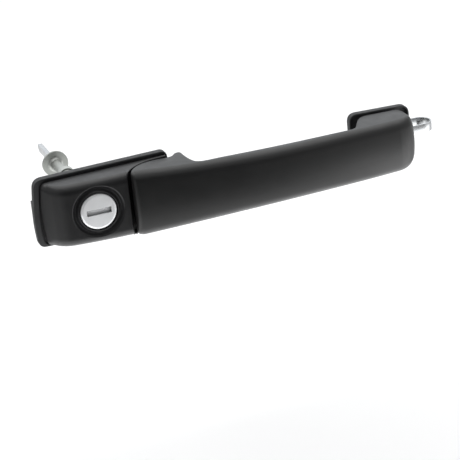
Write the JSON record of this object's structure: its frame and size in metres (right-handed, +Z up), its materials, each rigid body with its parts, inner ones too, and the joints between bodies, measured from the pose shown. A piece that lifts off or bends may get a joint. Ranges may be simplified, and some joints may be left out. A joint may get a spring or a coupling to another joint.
{
  "type": "car door handle",
  "caption": "Pull-type exterior car door handle with lock housing, key cylinder and tail, hinged grip, release lever, gaskets and hinge strap.",
  "frame": {"origin": "on the rear face of the large gasket's web, between the lock's opening and the arm's opening, on the lock's centre height; the door skin's outer surface is y = 0", "axes": "+X along the handle from the lock end to the hinge end, +Y into the door along the lock's axis, +Z up"},
  "size_m": [0.2562, 0.1409, 0.0523],
  "materials": {
    "housing_plastic": "black satin plastic, fine moulded grain",
    "grip_plastic": "black satin plastic, fine moulded grain",
    "inner_plastic": "black plain plastic",
    "gasket_rubber": "dark grey matt rubber",
    "cast_zinc": "plain die-cast zinc, slightly dull",
    "satin_cap": "fine satin bright metal",
    "spring_steel": "bright rolled and wire steel",
    "carrier_black": "black-coated die casting",
    "dark_steel": "black oxide screws",
    "brass": "plain brass",
    "white_plastic": "natural white acetal"
  },
  "bodies": {
    "door_side": {"lock_housing_cover": "housing_plastic", "lock_carrier": "carrier_black", "lock_gasket": "gasket_rubber", "cover_screw_1": "dark_steel", "cover_screw_2": "dark_steel", "grip_buffer_upper": "gasket_rubber", "grip_buffer_lower": "gasket_rubber", "lock_barrel_housing": "cast_zinc", "barrel_retaining_clip": "spring_steel", "lock_face_seal": "gasket_rubber", "lock_return_spring": "spring_steel", "lever_pivot_pin": "spring_steel", "lever_return_spring": "spring_steel", "hinge_gasket": "gasket_rubber", "hinge_bracket": "cast_zinc", "hinge_pin": "spring_steel", "grip_return_spring": "spring_steel", "retaining_strap": "spring_steel", "strap_rivet": "cast_zinc"},
    "grip": {"grip_shell": "grip_plastic", "grip_inner_cover": "inner_plastic", "grip_core": "spring_steel", "pull_arm": "cast_zinc", "hinge_knuckle": "cast_zinc", "hinge_bush": "white_plastic", "arm_screw_1": "dark_steel", "arm_screw_2": "dark_steel", "knuckle_screw": "dark_steel"},
    "lever": {"release_lever": "inner_plastic", "lever_nose_pin": "spring_steel", "adjusting_screw": "white_plastic", "adjusting_nut": "brass"},
    "lock_rotor": {"lock_plug": "cast_zinc", "lock_face_cap": "satin_cap", "shutter_pin": "spring_steel", "lock_tail_shaft": "cast_zinc", "lock_tail_blade": "spring_steel", "plug_circlip": "spring_steel"},
    "shutter": {"key_shutter": "satin_cap"},
    "wafer_body_1": {"wafer_1": "brass"},
    "wafer_body_2": {"wafer_2": "brass"},
    "wafer_body_3": {"wafer_3": "brass"},
    "wafer_body_4": {"wafer_4": "brass"},
    "wafer_body_5": {"wafer_5": "brass"},
    "wafer_body_6": {"wafer_6": "brass"}
  },
  "joints": [
    {"name": "grip_pull", "type": "hinge", "parent": "door_side", "child": "grip", "pos_m": [0.16, 0.008, 0], "axis": [0, 0, 1], "range_deg": [0, 5], "stiffness_Nm_per_rad": 12, "springref_deg": -2.86},
    {"name": "release_lever", "type": "hinge", "parent": "door_side", "child": "lever", "pos_m": [0.013, 0.019, -0.013], "axis": [1, 0, 0], "range_deg": [0, 46.9], "stiffness_Nm_per_rad": 0.02},
    {"name": "lock_turn", "type": "hinge", "parent": "door_side", "child": "lock_rotor", "pos_m": [-0.026, 0, 0], "axis": [0, 1, 0], "range_deg": [-75, 75], "stiffness_Nm_per_rad": 0.05},
    {"name": "key_shutter", "type": "hinge", "parent": "lock_rotor", "child": "shutter", "pos_m": [-0.026, -0.0201, 0.0034], "axis": [1, 0, 0], "range_deg": [0, 68], "stiffness_Nm_per_rad": 0.001},
    {"name": "wafer_slide_1", "type": "slide", "parent": "lock_rotor", "child": "wafer_body_1", "axis": [1, 0, 0], "range_m": [0, 0.0009], "stiffness_N_per_m": 60},
    {"name": "wafer_slide_2", "type": "slide", "parent": "lock_rotor", "child": "wafer_body_2", "axis": [-1, 0, 0], "range_m": [0, 0.0009], "stiffness_N_per_m": 60},
    {"name": "wafer_slide_3", "type": "slide", "parent": "lock_rotor", "child": "wafer_body_3", "axis": [1, 0, 0], "range_m": [0, 0.0009], "stiffness_N_per_m": 60},
    {"name": "wafer_slide_4", "type": "slide", "parent": "lock_rotor", "child": "wafer_body_4", "axis": [-1, 0, 0], "range_m": [0, 0.0009], "stiffness_N_per_m": 60},
    {"name": "wafer_slide_5", "type": "slide", "parent": "lock_rotor", "child": "wafer_body_5", "axis": [1, 0, 0], "range_m": [0, 0.0009], "stiffness_N_per_m": 60},
    {"name": "wafer_slide_6", "type": "slide", "parent": "lock_rotor", "child": "wafer_body_6", "axis": [-1, 0, 0], "range_m": [0, 0.0009], "stiffness_N_per_m": 60}
  ],
  "couplings": [
    {"joint": "release_lever", "follows": "grip_pull", "ratio": 9.36}
  ]
}
